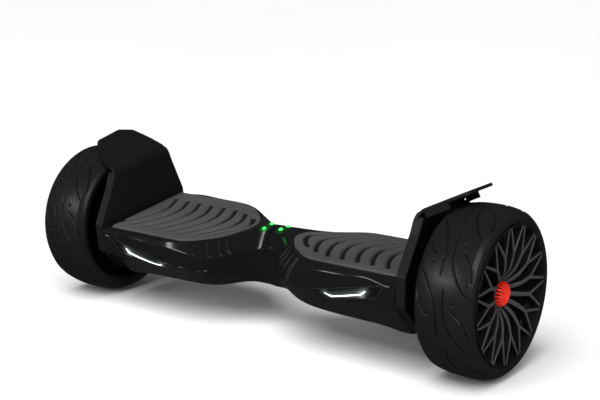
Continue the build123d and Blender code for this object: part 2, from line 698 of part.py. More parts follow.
with BuildPart() as fender:
    with BuildSketch(Plane.XZ.offset(-110)):
        with BuildLine():
            tip = slope_plane.from_local_coords((FENDER_REACH + 5, 0, 0))
            inner_path = FilletPolyline(
                (wall_x, 45), (wall_x, FENDER_TOP), (tip.X, tip.Z), radius=FENDER_BEND_R
            )
            offset(inner_path, amount=FENDER_WALL, side=Side.RIGHT, closed=True)
        make_face()
    extrude(amount=220)
    add(fender_region.part, mode=Mode.INTERSECT)
    with BuildSketch(Plane.YZ.offset(wall_x + 1)):
        add(wall_outline.sketch)
        offset(amount=-FENDER_RIM, kind=Kind.INTERSECTION, mode=Mode.SUBTRACT)
        with Locations((0, RIM_TOP)):
            Rectangle(300, THROUGH, mode=Mode.SUBTRACT, align=(Align.CENTER, Align.MIN))
    extrude(amount=FENDER_RIM_DEPTH - 1)
    with BuildSketch(slope_plane.offset(-FENDER_WALL / 2)):
        for start, end in SKIRTS:
            inward = FENDER_RIM if start[1] < 0 else -FENDER_RIM
            Polygon(
                start, end, (end[0], end[1] + inward), (start[0], start[1] + inward), align=None
            )
    extrude(amount=-SKIRT_DEPTH)
    with BuildSketch(Plane.YZ.offset(wall_x)):
        with Locations((0, AXLE_Z)):
            Circle(AXLE_HOLE_R)
        with Locations(*FENDER_BOLTS):
            Circle(SCREW_R + 0.3)
    extrude(amount=20, mode=Mode.SUBTRACT)
write_pair(fender.part, "fender")


# Twist pivot: a tube fixed in the right half that turns in two bushes in the left half
with BuildPart() as pivot_tube:
    with BuildSketch(Plane.YZ.offset(-TUBE_REACH)):
        with Locations((0, AXLE_Z)):
            Circle(TUBE_R)
    extrude(amount=TUBE_REACH + BOSS_END)
    with BuildSketch(Plane.YZ.offset(-RING_START - RING_WIDTH - 0.1)):
        with Locations((0, AXLE_Z)):
            Circle(TUBE_R + 1)
            Circle(RING_GROOVE_R, mode=Mode.SUBTRACT)
    extrude(amount=RING_WIDTH + 0.2, mode=Mode.SUBTRACT)
    with BuildSketch(Plane.YZ.offset(-TUBE_REACH)):
        with Locations((0, AXLE_Z)):
            Circle(TUBE_BORE)
    extrude(amount=2 * TUBE_REACH, mode=Mode.SUBTRACT)
    with Locations((PIVOT_PIN_X, 0, AXLE_Z)):
        Cylinder(PIVOT_PIN_R + SEAT, 3 * TUBE_R, rotation=(90, 0, 0), mode=Mode.SUBTRACT)
write(pivot_tube.part, "pivot_tube")

with BuildPart() as pivot_pin:
    with Locations((PIVOT_PIN_X, 0, AXLE_Z)):
        Cylinder(PIVOT_PIN_R, 2 * BOSS_R - 2, rotation=(90, 0, 0))
write(pivot_pin.part, "pivot_pin")

with BuildPart() as pivot_ring:
    with BuildSketch(Plane.YZ.offset(-RING_START - RING_WIDTH)):
        with Locations((0, AXLE_Z)):
            Circle(RING_R)
            Circle(RING_GROOVE_R + SEAT, mode=Mode.SUBTRACT)
        with Locations((0, AXLE_Z - RING_R)):
            Rectangle(16, 12, mode=Mode.SUBTRACT)
    extrude(amount=RING_WIDTH)
write(pivot_ring.part, "pivot_ring")

with BuildPart() as pivot_bushes:
    for start in (BOSS_START, BOSS_END - BUSH_LENGTH):
        with BuildSketch(Plane.YZ.offset(start)):
            with Locations((0, AXLE_Z)):
                Circle(BUSH_R)
                Circle(TUBE_R + SLIP, mode=Mode.SUBTRACT)
        extrude(amount=BUSH_LENGTH)
write(to_left(pivot_bushes.part), "left_pivot_bushes")

# Rubber seal round the axle where it leaves the casing
with BuildPart() as axle_seal:
    with BuildSketch(Plane.YZ.offset(BODY_END - WALL - 0.5)):
        with Locations((0, AXLE_Z)):
            Circle(AXLE_HOLE_R - SEAT)
            Circle(AXLE_R + SEAT, mode=Mode.SUBTRACT)
    extrude(amount=WALL + FENDER_WALL + 1.5)
write_pair(axle_seal.part, "axle_seal")

# Bolts of the axle clamp, and of the fender
with BuildPart() as frame_bolts:
    with BuildSketch(Plane.XY.offset(CLAMP_TOP - 3)):
        with Locations(*CLAMP_BOLTS):
            RegularPolygon(4.6, 6)
    extrude(amount=3)
    with BuildSketch(Plane.XY.offset(CLAMP_TOP - 3)):
        with Locations(*CLAMP_BOLTS):
            Circle(CLAMP_BOLT_R)
    extrude(amount=-(CLAMP_TOP - 3 - AXLE_Z + CLAMP_BOLT_DEPTH - 1))
    with BuildSketch(Plane.YZ.offset(wall_x + FENDER_WALL)):
        with Locations(*FENDER_BOLTS):
            Circle(SCREW_R)
    extrude(amount=-18)
    with BuildSketch(Plane.YZ.offset(wall_x + FENDER_WALL)):
        with Locations(*FENDER_BOLTS):
            Circle(HEAD_R)
    extrude(amount=HEAD_HEIGHT)
    with BuildSketch(Plane.YZ.offset(wall_x + FENDER_WALL + HEAD_HEIGHT)):
        with Locations(*FENDER_BOLTS):
            RegularPolygon(2, 6)
    extrude(amount=-1.4, mode=Mode.SUBTRACT)
write_pair(frame_bolts.part, "frame_bolts")


def countersunk(places, length):
    """Flat headed screws whose heads face up at the given places."""
    with BuildPart() as screws:
        with Locations(*places):
            Cone(SCREW_R, HEAD_R, 2, align=(Align.CENTER, Align.CENTER, Align.MAX))
            Cylinder(SCREW_R, length, align=(Align.CENTER, Align.CENTER, Align.MAX))
            Box(4.5, 1, 2, mode=Mode.SUBTRACT)
    return screws.part


with BuildPart() as shell_screws:
    add(countersunk([(x, y, LEDGE_TOP) for x, y in DECK_POSTS], DECK_SCREW))
    add(countersunk([sole_face(x, y) for x, y in SOLE_POSTS], SOLE_SCREW))
write_pair(shell_screws.part, "shell_screws")

# Electronics on the chassis: the switch board lies under the pedal plate
with BuildPart() as sensor_boards:
    with BuildSketch(Plane.XY.offset(SWITCH_BOARD_Z)):
        with Locations((142, 0)):
            RectangleRounded(108, 40, 3)
    extrude(amount=BOARD)
    with Locations((142, 0, PLATFORM_TOP)):
        with GridLocations(96, 30, 2, 2):
            Cylinder(
                3, SWITCH_BOARD_Z - PLATFORM_TOP, align=(Align.CENTER, Align.CENTER, Align.MIN)
            )
    with Locations(*[(x, y, SWITCH_BOARD_Z + BOARD) for x, y in PLUNGERS]):
        Cone(6, 4, 2.8, align=(Align.CENTER, Align.CENTER, Align.MIN))
    # The gyroscope's own small board stands beside it
    with Locations((140, 46, PLATFORM_TOP)):
        Box(22, 16, 4, align=(Align.CENTER, Align.CENTER, Align.MIN))
    with Locations((140, 46, PLATFORM_TOP + 4)):
        Box(32, 24, BOARD, align=(Align.CENTER, Align.CENTER, Align.MIN))
    with Locations((140, 46, PLATFORM_TOP + 4 + BOARD)):
        Box(8, 8, 1.2, align=(Align.CENTER, Align.CENTER, Align.MIN))
write_pair(sensor_boards.part, "sensor_boards")

# Battery under the left platform
with BuildPart() as battery_pack:
    with Locations(((BATTERY_START + BATTERY_END) / 2, BATTERY_Y, BATTERY_BOTTOM)):
        Box(
            BATTERY_END - BATTERY_START,
            2 * BATTERY_HALF,
            PLATFORM_BOTTOM - BATTERY_BOTTOM - 1,
            align=(Align.CENTER, Align.CENTER, Align.MIN),
        )
    fillet(battery_pack.edges().filter_by(Axis.X), 7)
write(to_left(battery_pack.part), "battery_pack")

# Main board under the right platform, with its heat sink and capacitors
with BuildPart() as main_board:
    with BuildSketch(Plane.XY.offset(BOARD_Z)):
        with Locations((160, 0)):
            RectangleRounded(118, 76, 3)
    extrude(amount=BOARD)
    with Locations((160, 0, BOARD_Z + BOARD)):
        with GridLocations(108, 66, 2, 2):
            Cylinder(
                3, PLATFORM_BOTTOM - BOARD_Z - BOARD, align=(Align.CENTER, Align.CENTER, Align.MIN)
            )
    # Heat sink fins
    with Locations((160, 14, BOARD_Z + BOARD)):
        Box(84, 22, 4, align=(Align.CENTER, Align.CENTER, Align.MIN))
    with Locations((160, 14, BOARD_Z + BOARD + 3.5)):
        with GridLocations(6, 1, 14, 1):
            Box(2, 22, 6, align=(Align.CENTER, Align.CENTER, Align.MIN))
    # Capacitors
    with Locations((150, -14, BOARD_Z)):
        with GridLocations(16, 18, 4, 2):
            Cylinder(6, 20, align=(Align.CENTER, Align.CENTER, Align.MAX))
write(main_board.part, "main_board")

# Charging socket with three pins, its hinged cap, and the power button with its switch
rear_facing = Location((PORT_X, REAR, PORT_Z), (-90, 0, 0))
hinge_place = Location((PORT_X, HINGE_Y, HINGE_Z), (0, 90, 0))
up = (Align.CENTER, Align.CENTER, Align.MIN)
down = (Align.CENTER, Align.CENTER, Align.MAX)
with BuildPart() as charge_socket:
    with Locations(rear_facing):
        Cylinder(PORT_FLANGE, 1.8, align=up)
        Cylinder(PORT_R, 18, align=down)
    for side in (-1, 1):
        lug_x = PORT_X + side * (CAP_WIDTH / 2 + LUG_WIDTH / 2 + 0.1)
        with Locations(Location((lug_x, HINGE_Y, HINGE_Z), (0, 90, 0))):
            Cylinder(HINGE_R, LUG_WIDTH)
        with Locations((lug_x, REAR + 0.1, PORT_Z - 7)):
            Box(LUG_WIDTH, 1.7, 6.2, align=(Align.CENTER, Align.MIN, Align.MAX))
        with Locations((lug_x, REAR + 0.3, HINGE_Z - 1)):
            Box(LUG_WIDTH, HINGE_Y - REAR - 0.3, 2.6, align=(Align.CENTER, Align.MIN, Align.MIN))
    with Locations(hinge_place):
        Cylinder(HINGE_PIN_R + SEAT, 20, mode=Mode.SUBTRACT)
    with Locations(rear_facing):
        Cylinder(PORT_BORE, 14, align=down, mode=Mode.SUBTRACT)
        Cylinder(PORT_BORE, 4, align=up, mode=Mode.SUBTRACT)
    with Locations(rear_facing * Location((0, 0, -14.5))):
        with PolarLocations(3, 3):
            Cylinder(0.9, 6, align=up)
write(charge_socket.part, "charge_socket")

with BuildPart() as charge_cap:
    with Locations(rear_facing * Location((0, 0, 2.1))):
        Cylinder(PORT_FLANGE + 0.4, 2.4, align=up)
    fillet(charge_cap.faces().sort_by(Axis.Y)[-1].edges(), 0.8)
    with Locations((PORT_X, REAR + 2.3, HINGE_Z + 0.2)):
        Box(CAP_WIDTH, 2, 6, align=(Align.CENTER, Align.MIN, Align.MIN))
    with Locations(hinge_place):
        Cylinder(HINGE_R, CAP_WIDTH)
        Cylinder(HINGE_PIN_R + SLIP, 20, mode=Mode.SUBTRACT)
write(charge_cap.part, "charge_cap")

with BuildPart() as cap_pin:
    with Locations(hinge_place):
        Cylinder(HINGE_PIN_R, CAP_WIDTH + 2 * LUG_WIDTH + 0.2)
write(cap_pin.part, "cap_pin")

button_place = Location((BUTTON_X, REAR, BUTTON_Z), (-90, 0, 0))
with BuildPart() as power_button:
    with Locations(button_place * Location((0, 0, 1.6))):
        Cylinder(BUTTON_R - 0.15, 6.4, align=down)
    fillet(power_button.faces().sort_by(Axis.Y)[-1].edges(), 0.6)
    with Locations(button_place * Location((0, 0, -WALL - 0.5))):
        Cylinder(BUTTON_R + 1, 1.3, align=down)
write(power_button.part, "power_button")

with BuildPart() as power_switch:
    with Locations(button_place * Location((0, 0, -WALL - 1.8 - BUTTON_TRAVEL - SWITCH_GAP))):
        Cylinder(BUTTON_R + 2, 10, align=down)
write(power_switch.part, "power_switch")
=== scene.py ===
"""Looks of the two-wheel self balancing board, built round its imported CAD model.

Pieces are drawn on the right half in millimetres, X outwards from the centre plane, -Y to the
front and Z up, with that half level. place() puts them in the world in metres, and for the left
half mirrors them and tips them about the axle line.
"""

import math

import bmesh
import bpy
import numpy as np
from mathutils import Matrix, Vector
from mathutils.bvhtree import BVHTree


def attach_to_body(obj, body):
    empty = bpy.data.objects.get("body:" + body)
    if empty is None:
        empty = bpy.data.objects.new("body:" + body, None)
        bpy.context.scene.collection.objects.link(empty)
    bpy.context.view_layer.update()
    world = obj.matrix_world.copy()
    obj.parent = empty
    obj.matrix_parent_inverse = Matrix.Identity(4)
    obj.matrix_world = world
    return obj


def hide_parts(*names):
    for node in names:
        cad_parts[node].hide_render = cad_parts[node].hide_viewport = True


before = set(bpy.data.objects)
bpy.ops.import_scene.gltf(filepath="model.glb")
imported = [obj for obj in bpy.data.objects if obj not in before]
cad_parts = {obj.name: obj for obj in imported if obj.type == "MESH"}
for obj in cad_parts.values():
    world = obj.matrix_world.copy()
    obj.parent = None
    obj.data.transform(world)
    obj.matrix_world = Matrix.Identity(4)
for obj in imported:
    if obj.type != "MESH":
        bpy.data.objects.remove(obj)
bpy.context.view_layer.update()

MM = 0.001
AXLE_Z = 108.0
WHEEL_X = 316.0
TWIST = math.radians(8.0)
SIDES = ("right", "left")
TAU = 2 * math.pi


def place(points, side):
    """Points of the right half, in mm, as world points of either half, in metres."""
    p = np.array(points, float).reshape(-1, 3)
    if side == "left":
        y, z = p[:, 1].copy(), p[:, 2] - AXLE_Z
        c, s = math.cos(TWIST), math.sin(TWIST)
        p = np.column_stack([-p[:, 0], y * c - z * s, AXLE_Z + z * c + y * s])
    return p * MM


def make(name, points, faces, side, material, smooth_angle=35.0):
    """A mesh object from points of the right half, with outward faces."""
    mesh = bpy.data.meshes.new(name)
    mesh.from_pydata([tuple(q) for q in place(points, side)], [], [tuple(f) for f in faces])
    work = bmesh.new()
    work.from_mesh(mesh)
    bmesh.ops.remove_doubles(work, verts=work.verts, dist=1e-7)
    bmesh.ops.recalc_face_normals(work, faces=work.faces)
    work.to_mesh(mesh)
    work.free()
    mesh.shade_smooth()
    if smooth_angle:
        mesh.set_sharp_from_angle(angle=math.radians(smooth_angle))
    mesh.materials.append(material)
    obj = bpy.data.objects.new(name, mesh)
    bpy.context.scene.collection.objects.link(obj)
    return obj


def attach(obj, body, slot, *nodes):
    """Rides a piece on its body and hides the CAD nodes that it stands for. Its slot is not used."""
    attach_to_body(obj, body)
    if nodes:
        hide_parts(*nodes)
    return obj


def grid_faces(rows, columns, wrap_rows=False, wrap_columns=False):
    """Quads of a grid of points that are numbered row by row."""
    faces = []
    for i in range(rows if wrap_rows else rows - 1):
        for j in range(columns if wrap_columns else columns - 1):
            a, b = i * columns + j, i * columns + (j + 1) % columns
            c, d = ((i + 1) % rows) * columns + (j + 1) % columns, ((i + 1) % rows) * columns + j
            faces.append((a, b, c, d))
    return faces


def smooth_line(points, count):
    """Points evenly spaced along a Catmull-Rom curve through the given ones."""
    p = np.array(points, float)
    ends = np.vstack([2 * p[0] - p[1], p, 2 * p[-1] - p[-2]])
    fine = []
    for a, b, c, d in zip(ends, ends[1:], ends[2:], ends[3:]):
        t = np.linspace(0, 1, 24, endpoint=False)[:, None]
        fine.append(
            0.5
            * (
                2 * b
                + (c - a) * t
                + (2 * a - 5 * b + 4 * c - d) * t**2
                + (3 * b - a - 3 * c + d) * t**3
            )
        )
    fine = np.vstack([*fine, p[-1:]])
    run = np.concatenate([[0], np.cumsum(np.linalg.norm(np.diff(fine, axis=0), axis=1))])
    at = np.linspace(0, run[-1], count)
    return np.column_stack([np.interp(at, run, fine[:, k]) for k in range(p.shape[1])])


def smoothstep(t):
    t = np.clip(t, 0, 1)
    return t * t * (3 - 2 * t)


def joined(parts):
    """Several (points, faces) as one."""
    points, faces, base = [], [], 0
    for p, f in parts:
        points.append(p)
        faces += [tuple(k + base for k in face) for face in f]
        base += len(p)
    return np.vstack(points), faces


def paint(obj, material, chosen):
    """Gives a second material to the faces that chosen(face) picks."""
    obj.data.materials.append(material)
    for face in obj.data.polygons:
        if chosen(face):
            face.material_index = 1


def line_distance(u, v, line):
    """Distance of each (u, v) from a polyline, and how far along it the nearest point is."""
    best = np.full(u.shape, 1e9)
    along = np.zeros(u.shape)
    count = len(line) - 1
    for k, ((ax, ay), (bx, by)) in enumerate(zip(line, line[1:])):
        dx, dy = bx - ax, by - ay
        t = np.clip(((u - ax) * dx + (v - ay) * dy) / (dx * dx + dy * dy), 0, 1)
        d = np.hypot(u - ax - t * dx, v - ay - t * dy)
        nearer = d < best
        best = np.where(nearer, d, best)
        along = np.where(nearer, (k + t) / count, along)
    return best, along


# ---------------------------------------------------------------- materials


class Nodes:
    """Short hand for building a node material."""

    def __init__(self, name):
        self.material = bpy.data.materials.new(name)
        self.material.use_nodes = True
        self.tree = self.material.node_tree
        self.shader = self.tree.nodes["Principled BSDF"]
        self.coords = self.add("ShaderNodeTexCoord").outputs["Object"]

    def add(self, kind, inputs=(), **settings):
        node = self.tree.nodes.new(kind)
        for key, value in settings.items():
            setattr(node, key, value)
        for key, value in dict(inputs).items():
            if isinstance(value, bpy.types.NodeSocket):
                self.tree.links.new(value, node.inputs[key])
            else:
                node.inputs[key].default_value = value
        return node

    def set(self, **inputs):
        for key, value in inputs.items():
            key = key.replace("_", " ")
            if isinstance(value, bpy.types.NodeSocket):
                self.tree.links.new(value, self.shader.inputs[key])
            else:
                self.shader.inputs[key].default_value = value

    def noise(self, scale, detail=4.0, roughness=0.55, stretch=(1, 1, 1)):
        spread = self.add(
            "ShaderNodeMapping", {"Vector": self.coords, "Scale": stretch}
        ).outputs["Vector"]
        return self.add(
            "ShaderNodeTexNoise",
            {"Vector": spread, "Scale": scale, "Detail": detail, "Roughness": roughness},
        ).outputs["Fac"]

    def ramp(self, value, low, high, stops=(0.3, 0.7)):
        """A colour between two, by a value."""
        node = self.add("ShaderNodeValToRGB", {"Fac": value})
        for element, place_at, colour in zip(node.color_ramp.elements, stops, (low, high)):
            element.position = place_at
            element.color = (*colour, 1)
        return node.outputs["Color"]

    def spread(self, value, low, high, start=0.3, end=0.7):
        """A number between two, by a value."""
        return self.add(
            "ShaderNodeMapRange",
            {"Value": value, "From Min": start, "From Max": end, "To Min": low, "To Max": high},
        ).outputs["Result"]

    def bump(self, height, distance, strength=1.0, under=None):
        inputs = {"Height": height, "Distance": distance, "Strength": strength}
        if under is not None:
            inputs["Normal"] = under
        return self.add("ShaderNodeBump", inputs).outputs["Normal"]


def plastic(name, colour, roughness, grain, grain_depth, wear=0.25, coat=0.0, tint=1.35, gloss=0.5):
    """Moulded plastic or rubber: faint mottling, uneven polish and a fine grain."""
    n = Nodes(name)
    patches = n.noise(9.0, 6.0)
    smudges = n.noise(42.0, 5.0, 0.6)
    fine = n.noise(grain, 2.0, 0.5)
    n.set(
        Base_Color=n.ramp(patches, colour, tuple(c * tint for c in colour)),
        Roughness=n.spread(smudges, roughness * (1 - wear), roughness * (1 + wear)),
        Normal=n.bump(fine, grain_depth),
    )
    n.shader.inputs["Specular IOR Level"].default_value = gloss
    n.shader.inputs["Coat Weight"].default_value = coat
    n.shader.inputs["Coat Roughness"].default_value = 0.05
    return n


def metal(name, colour, roughness, stretch=(1, 1, 1), grain=900.0):
    """Worked metal: brushed or turned marks and a little tarnish."""
    n = Nodes(name)
    marks = n.noise(grain, 3.0, 0.6, stretch)
    tarnish = n.noise(30.0, 6.0)
    n.set(
        Base_Color=n.ramp(tarnish, tuple(c * 0.82 for c in colour), colour),
        Roughness=n.spread(tarnish, roughness * 0.8, roughness * 1.25),
        Normal=n.bump(marks, 0.00004),
        Metallic=1.0,
    )
    return n.material


def glow_spots(n, spots):
    """Strength of the light spilt on a lens round (point, reach, strength) spots."""
    total = 0.0
    for point, reach, strength in spots:
        far = n.add(
            "ShaderNodeVectorMath", {0: n.coords, 1: tuple(point)}, operation="DISTANCE"
        ).outputs["Value"]
        near = n.spread(far, 1.0, 0.0, 0.0, reach)
        near = n.add("ShaderNodeMath", {0: near, 1: 3.0}, operation="POWER").outputs["Value"]
        total = n.add(
            "ShaderNodeMath", {0: near, 1: strength, 2: total}, operation="MULTIPLY_ADD"
        ).outputs["Value"]
    return total


def lens_material(name, colour, points, side):
    """Smoked lens, lit from behind round some (point, reach, strength) in the half's frame."""
    n = plastic(name, (0.003, 0.0035, 0.0035), 0.09, 2600.0, 0.000002, 0.4, 0.3)
    spots = [(place([p], side)[0], reach * MM, strength) for p, reach, strength in points]
    n.set(Emission_Color=(*colour, 1), Emission_Strength=glow_spots(n, spots))
    return n.material


gloss_shell = plastic("gloss_shell", (0.005, 0.005, 0.0053), 0.13, 2600.0, 0.000004, 0.3, 0.25)
gloss_shell = gloss_shell.material
# A lighter, rougher copy of the shell plastic, for the right half's ribs only: painted sheen where light
# grazes them.
rib_painted_sheen = plastic("rib_painted_sheen", (0.014, 0.014, 0.0145), 0.3, 2400.0, 0.000006, 0.3).material
fender_black = plastic("fender_black", (0.0065, 0.0065, 0.0068), 0.46, 2200.0, 0.00005, 0.15, gloss=0.3)
fender_black = fender_black.material
pad_rubber = plastic("pad_rubber", (0.052, 0.052, 0.053), 0.45, 1500.0, 0.00005, 0.2, gloss=0.3).material
# Near-black rubber for the floors of the pad's grooves: painted shade in the grooves.
pad_groove_shade = plastic("pad_groove_shade", (0.006, 0.006, 0.006), 0.6, 1500.0, 0.00005, 0.2).material
trim_grey = plastic("trim_grey", (0.040, 0.040, 0.042), 0.38, 1800.0, 0.00002, 0.2).material
trim_black = plastic("trim_black", (0.003, 0.003, 0.003), 0.6, 1400.0, 0.00003).material
hub_red = plastic("hub_red", (0.72, 0.022, 0.012), 0.33, 1200.0, 0.00002, 0.25, 0.2, 1.25).material
bezel_black = plastic("bezel_black", (0.012, 0.012, 0.012), 0.3, 1800.0, 0.00001, 0.25).material
moulding = plastic("moulding", (0.02, 0.02, 0.021), 0.5, 1600.0, 0.00004).material
circuit_green = plastic("circuit_green", (0.02, 0.09, 0.045), 0.4, 700.0, 0.00004).material
seal_black = plastic("seal_black", (0.012, 0.012, 0.012), 0.6, 1300.0, 0.00006).material

tyre_black = plastic("tyre_black", (0.0065, 0.0065, 0.0067), 0.36, 1900.0, 0.00004, 0.22, 0.0, 1.5, 0.42)
tyre_black = tyre_black.material

cast_metal = metal("cast_metal", (0.5, 0.5, 0.51), 0.5, grain=420.0)
steel = metal("steel", (0.55, 0.55, 0.57), 0.28, (0.05, 1, 1))
dark_steel = metal("dark_steel", (0.05, 0.05, 0.053), 0.4)
rim_metal = metal("rim_metal", (0.045, 0.045, 0.048), 0.36, (1, 0.3, 0.3))
copper = metal("copper_windings", (0.5, 0.22, 0.1), 0.35, (1, 0.2, 1), 500.0)
brass = metal("brass", (0.6, 0.42, 0.16), 0.3)

light_nodes = Nodes("white_light")
light_nodes.set(
    Base_Color=light_nodes.ramp(light_nodes.noise(60.0), (0.8, 0.95, 0.9), (0.95, 1.0, 0.98)),
    Emission_Color=(0.86, 1.0, 0.95, 1),
    Emission_Strength=light_nodes.spread(light_nodes.noise(25.0), 1.5, 2.1),
    Roughness=0.3,
)
white_light = light_nodes.material

green_nodes = Nodes("green_light")
green_nodes.set(
    Base_Color=green_nodes.ramp(green_nodes.noise(90.0), (0.05, 0.75, 0.15), (0.15, 0.95, 0.25)),
    Emission_Color=(0.02, 1.0, 0.1, 1),
    Emission_Strength=green_nodes.spread(green_nodes.noise(120.0), 0.55, 0.85),
    Roughness=0.25,
)
green_light = green_nodes.material

FINISHES = {
    "upper_shell": gloss_shell,
    "lower_shell": gloss_shell,
    "headlight_lens": bezel_black,
    "light_bar": white_light,
    "status_lens": bezel_black,
    "status_lights": green_light,
    "chassis": cast_metal,
    "stator": copper,
    "axle": steel,
    "axle_clamp": cast_metal,
    "frame_bolts": dark_steel,
    "fender": fender_black,
    "axle_seal": seal_black,
    "shell_screws": dark_steel,
    "sensor_boards": circuit_green,
    "tyre": tyre_black,
    "rim": rim_metal,
    "side_cover": rim_metal,
    "cover_screws": dark_steel,
    "bearings": steel,
    "wheel_trim": trim_grey,
    "hub_cap": hub_red,
    "pedal_plate": cast_metal,
    "foot_pad": pad_rubber,
    "pivot_tube": steel,
    "pivot_pin": steel,
    "pivot_ring": steel,
    "pivot_bushes": brass,
    "battery_pack": cast_metal,
    "main_board": circuit_green,
    "charge_socket": moulding,
    "charge_cap": seal_black,
    "cap_pin": steel,
    "power_button": moulding,
    "power_switch": moulding,
}
for node_name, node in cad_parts.items():
    kind = node_name.removeprefix("right_").removeprefix("left_")
    node.data.materials.clear()
    node.data.materials.append(FINISHES[kind])


# ---------------------------------------------------------------- tyres

TREAD_UNITS = 9
TYRE_PROFILE = (
    (-38.4, 88.6), (-39.9, 92.0), (-39.6, 96.0), (-37.0, 100.3), (-33.6, 102.9),
    (-30.0, 104.7), (-15.0, 107.3), (0.0, 108.0),
)
# Sipes of one tread unit: (across the tread, degrees round the wheel) from the crown outwards
LONG_SIPE = ((3.8, 6.0), (4.0, 0.0), (5.6, -10.6), (9.9, -18.5), (18.1, -27.0), (25.2, -32.7),
             (32.5, -37.0))
SHORT_SIPE = ((16.0, -7.2), (21.5, -9.3), (27.8, -13.2), (33.4, -20.4), (35.2, -27.0))
SIPE_DOT = ((16.2, -2.2), (16.4, -1.9))
SIPE_MIRROR = 37.3  # turn from the outer sipes to the inner ones
SIPE_PHASE = {"right": 48.1, "left": 31.0}
CROWN_R = 106.5  # radius at which degrees round the wheel become millimetres
SIPES = ((LONG_SIPE, 0.85, 2.4), (SHORT_SIPE, 0.95, 2.2), (SIPE_DOT, 1.7, 1.6))  # line, half width, depth
TYRE_TURNS, TYRE_STEPS = 1080, 120
BEAD_SEAT = ((38.2, 87.4), (36.6, 87.2), (36.6, 86.0), (-36.6, 86.0), (-36.6, 87.2), (-38.2, 87.4))


def sipe_depth(across, turn, side):
    """How deep the tread is cut at each point, and how much its lobes swell, in mm."""
    pitch = 360.0 / TREAD_UNITS
    depth = np.zeros(across.shape)
    swell = np.zeros(across.shape)
    if side == "left":
        across = -across
    for sign in (1, -1):
        a = across * sign
        t = turn - SIPE_PHASE[side] if sign > 0 else SIPE_MIRROR - turn - SIPE_PHASE[side]
        t = (t + pitch * 0.2) % pitch - pitch * 0.2 - pitch
        for shift in (-pitch, 0.0, pitch):
            v = np.radians(t + shift) * CROWN_R
            for line, width, deep in SIPES:
                path = [(x, math.radians(d) * CROWN_R) for x, d in line]
                if len(line) > 2:
                    path = smooth_line(path, 40)
                far, along = line_distance(a, v, path)
                to_end = np.minimum(along, 1 - along)
                narrow = 1.0 if len(line) == 2 else np.sqrt(np.clip(to_end * 9, 0.15, 1))
                depth = np.maximum(depth, deep * smoothstep((width * narrow - far) / 0.9 + 0.4))
            lobe = np.exp(-(((a - 19) / 8) ** 2) - ((v + 34) / 17) ** 2)
            lobe += 0.8 * np.exp(-(((a - 27) / 7) ** 2) - ((v + 8) / 12) ** 2)
            swell = np.maximum(swell, lobe)
    return depth, swell


def build_tyre(side):
    half = list(TYRE_PROFILE)
    profile = smooth_line(half + [(-a, r) for a, r in reversed(half[:-1])], TYRE_STEPS)
    tangent = np.gradient(profile, axis=0)
    tangent /= np.linalg.norm(tangent, axis=1)[:, None]
    out = np.column_stack([-tangent[:, 1], tangent[:, 0]])
    angle = np.linspace(0, TAU, TYRE_TURNS, endpoint=False)
    across, turn = np.meshgrid(profile[:, 0], np.degrees(angle))
    depth, swell = sipe_depth(across, turn, side)
    edge = smoothstep((np.abs(across) - 36.5) / 2.5)
    push = (0.3 * swell - 0.2) * (1 - edge) - depth * (1 - edge)
    # A moulded step on each side wall
    wall = profile[:, 1][None, :]
    push = push + 0.35 * np.exp(-(((wall - 95.5) / 0.9) ** 2)) * (np.abs(across) > 37)
    along = profile[:, 0][None, :] + out[:, 0][None, :] * push
    radius = profile[:, 1][None, :] + out[:, 1][None, :] * push
    inner = np.array(BEAD_SEAT)
    along = np.hstack([along, np.repeat(inner[None, :, 0], TYRE_TURNS, 0)])
    radius = np.hstack([radius, np.repeat(inner[None, :, 1], TYRE_TURNS, 0)])
    c, s = np.cos(angle)[:, None], np.sin(angle)[:, None]
    points = np.stack([WHEEL_X + along, -radius * c, AXLE_Z + radius * s], -1).reshape(-1, 3)
    faces = grid_faces(TYRE_TURNS, along.shape[1], True, True)
    obj = make(f"{side}_tyre_tread", points, faces, side, tyre_black, 60)
    attach(obj, f"{side}_wheel", "tyre_rubber", f"{side}_tyre")


# ---------------------------------------------------------------- wheel trim and hub cap

SPOKES = 15
TRIM_BACK = 20.6  # face of the dish behind the spokes
SPOKE_ARM = ((15.0, 12.0), (34.0, 12.0), (53.5, 12.0))
SPOKE_FORK = ((52.5, 12.0), (87.2, 1.5))
BOWL = ((14.0, 22.2), (18.0, 24.4), (24.0, 29.0), (32.0, 33.8), (42.0, 36.6), (55.0, 38.2), (70.0, 39.0),
        (88.0, 39.5))


def bowl_height(radius):
    """How far the spokes' face stands out from the tyre's centre plane."""
    line = smooth_line(BOWL, 90)
    return np.interp(radius, line[:, 0], line[:, 1])


# Across a spoke: share of its half width, and drop below its face; None is its foot
SPOKE_SECTION = (
    (1.2, None), (1.03, 1.3), (0.92, 0.45), (0.72, 0.0),
    (-0.72, 0.0), (-0.92, 0.45), (-1.03, 1.3), (-1.2, None),
)
ARM_WIDTHS, FORK_WIDTHS = (6.4, 6.0, 5.3), (4.8, 3.9, 3.2)
FORK_MIDDLE = 12.0  # degrees at which a fork's two bars leave their arm


def wheel_points(along, radius, turn):
    """Points about the axle from offset, radius and turn, 0 at the rear and 90 degrees at the top."""
    return np.stack(
        [WHEEL_X + along, radius * np.cos(turn), AXLE_Z + radius * np.sin(turn)], -1
    )


